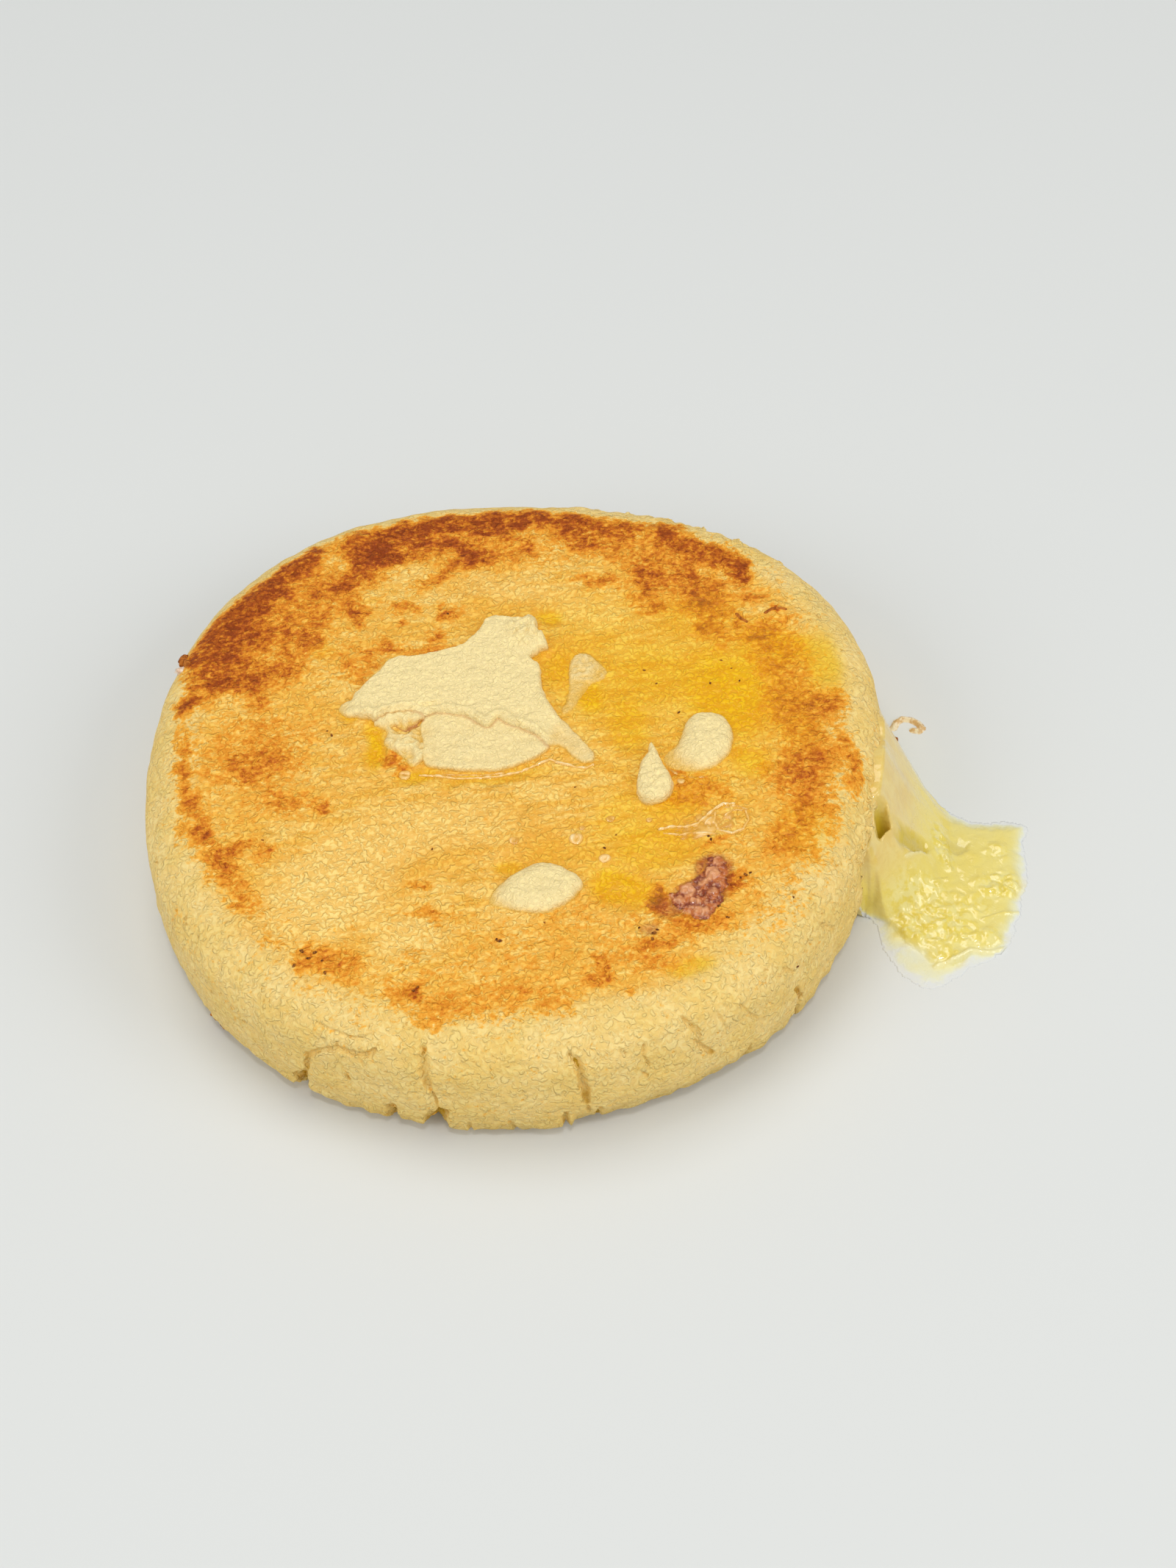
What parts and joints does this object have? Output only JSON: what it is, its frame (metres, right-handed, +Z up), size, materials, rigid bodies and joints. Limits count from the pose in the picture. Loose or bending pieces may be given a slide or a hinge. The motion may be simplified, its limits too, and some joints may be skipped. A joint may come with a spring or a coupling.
{
  "type": "arepa corn cake",
  "caption": "Round griddled corn cake with a toasted face, cracked pale sides, a split that leaks melted cheese, and soft butter melting on top.",
  "frame": {"origin": "middle of the cake's flat underside, on the surface it rests on", "axes": "+Z up through the griddled face, +X towards the side where the cheese leaks out, +Y towards the rim that is toasted darkest"},
  "size_m": [0.1249, 0.1085, 0.0214],
  "materials": {
    "masa": "griddled corn dough, toasted on top and pale at the sides",
    "cheese": "melted cheese, wet and slightly translucent",
    "butter": "soft butter, satin"
  },
  "bodies": {
    "root": {"arepa_cake": "masa", "cheese_filling": "cheese", "butter_sheet": "butter", "butter_leaf": "butter", "butter_crumple": "butter", "butter_strand": "butter", "butter_round": "butter", "butter_drop": "butter", "butter_oval": "butter"}
  },
  "joints": []
}
